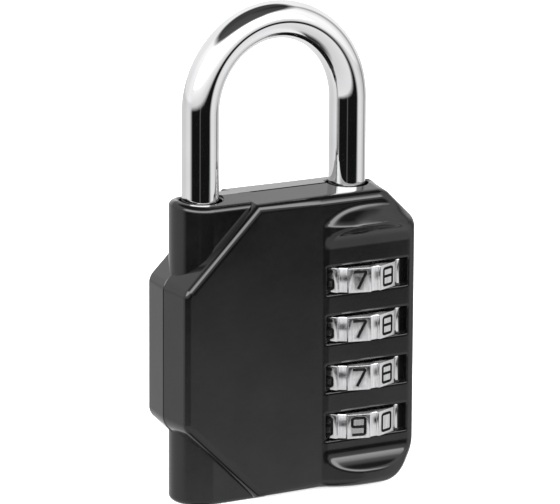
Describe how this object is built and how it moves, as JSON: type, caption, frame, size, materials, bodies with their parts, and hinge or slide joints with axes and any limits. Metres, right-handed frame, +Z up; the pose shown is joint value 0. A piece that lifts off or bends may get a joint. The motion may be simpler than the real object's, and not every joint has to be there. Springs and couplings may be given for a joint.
{
  "type": "combination padlock",
  "caption": "Combination padlock: octagonal black cast case with a half-round heel column, chromed U shackle and numbered dials that show through windows under a convex boss.",
  "frame": {"origin": "middle of the body's flat base, which the lock stands on", "axes": "+Z up along the shackle's legs, +X to the right towards the dials and the toe leg, -Y the front face"},
  "size_m": [0.043, 0.0176, 0.0798],
  "materials": {
    "case_lacquer": "semi-gloss black lacquer on die-cast zinc",
    "shackle_chrome": "polished chrome plate on hardened steel",
    "dial_chrome": "satin chrome with black ink in the numbers",
    "sleeve_brass": "turned brass",
    "lockwork_steel": "zinc-plated steel",
    "spring_steel": "drawn spring wire and strip"
  },
  "bodies": {
    "case": {"front_case": "case_lacquer", "rear_case": "case_lacquer", "case_pin_1": "lockwork_steel", "case_pin_2": "lockwork_steel", "case_pin_3": "lockwork_steel", "case_pin_4": "lockwork_steel", "heel_spring_seat": "lockwork_steel", "heel_spring": "spring_steel", "spacer_1": "lockwork_steel", "spacer_2": "lockwork_steel", "spacer_3": "lockwork_steel", "spacer_4": "lockwork_steel", "wave_washer": "spring_steel", "detent_strip": "spring_steel", "latch_spring": "spring_steel"},
    "shackle": {"shackle": "shackle_chrome", "heel_clip": "spring_steel"},
    "latch": {"latch": "lockwork_steel"},
    "spindle": {"spindle": "lockwork_steel", "spindle_cross_pin": "lockwork_steel"},
    "dial_1": {"dial_ring_1": "dial_chrome", "dial_sleeve_1": "sleeve_brass"},
    "dial_2": {"dial_ring_2": "dial_chrome", "dial_sleeve_2": "sleeve_brass"},
    "dial_3": {"dial_ring_3": "dial_chrome", "dial_sleeve_3": "sleeve_brass"},
    "dial_4": {"dial_ring_4": "dial_chrome", "dial_sleeve_4": "sleeve_brass"}
  },
  "joints": [
    {"name": "shackle_lift", "type": "slide", "parent": "case", "child": "shackle", "axis": [0, 0, 1], "range_m": [0, 0.0096], "deforming": ["heel_spring"]},
    {"name": "latch_draw", "type": "slide", "parent": "case", "child": "latch", "axis": [-1, 0, 0], "range_m": [0, 0.00576], "deforming": ["latch_spring"]},
    {"name": "spindle_rise", "type": "slide", "parent": "case", "child": "spindle", "axis": [0, 0, 1], "range_m": [0, 0.00192]},
    {"name": "dial_1_turn", "type": "hinge", "parent": "case", "child": "dial_1", "pos_m": [0.0115, 0, 0.03495], "axis": [0, 0, 1], "continuous": true},
    {"name": "dial_2_turn", "type": "hinge", "parent": "case", "child": "dial_2", "pos_m": [0.0115, 0, 0.02689], "axis": [0, 0, 1], "continuous": true},
    {"name": "dial_3_turn", "type": "hinge", "parent": "case", "child": "dial_3", "pos_m": [0.0115, 0, 0.01883], "axis": [0, 0, 1], "continuous": true},
    {"name": "dial_4_turn", "type": "hinge", "parent": "case", "child": "dial_4", "pos_m": [0.0115, 0, 0.01077], "axis": [0, 0, 1], "continuous": true}
  ],
  "couplings": [
    {"joint": "latch_draw", "follows": "shackle_lift", "ratio": 0.6},
    {"joint": "spindle_rise", "follows": "shackle_lift", "ratio": 0.2}
  ]
}
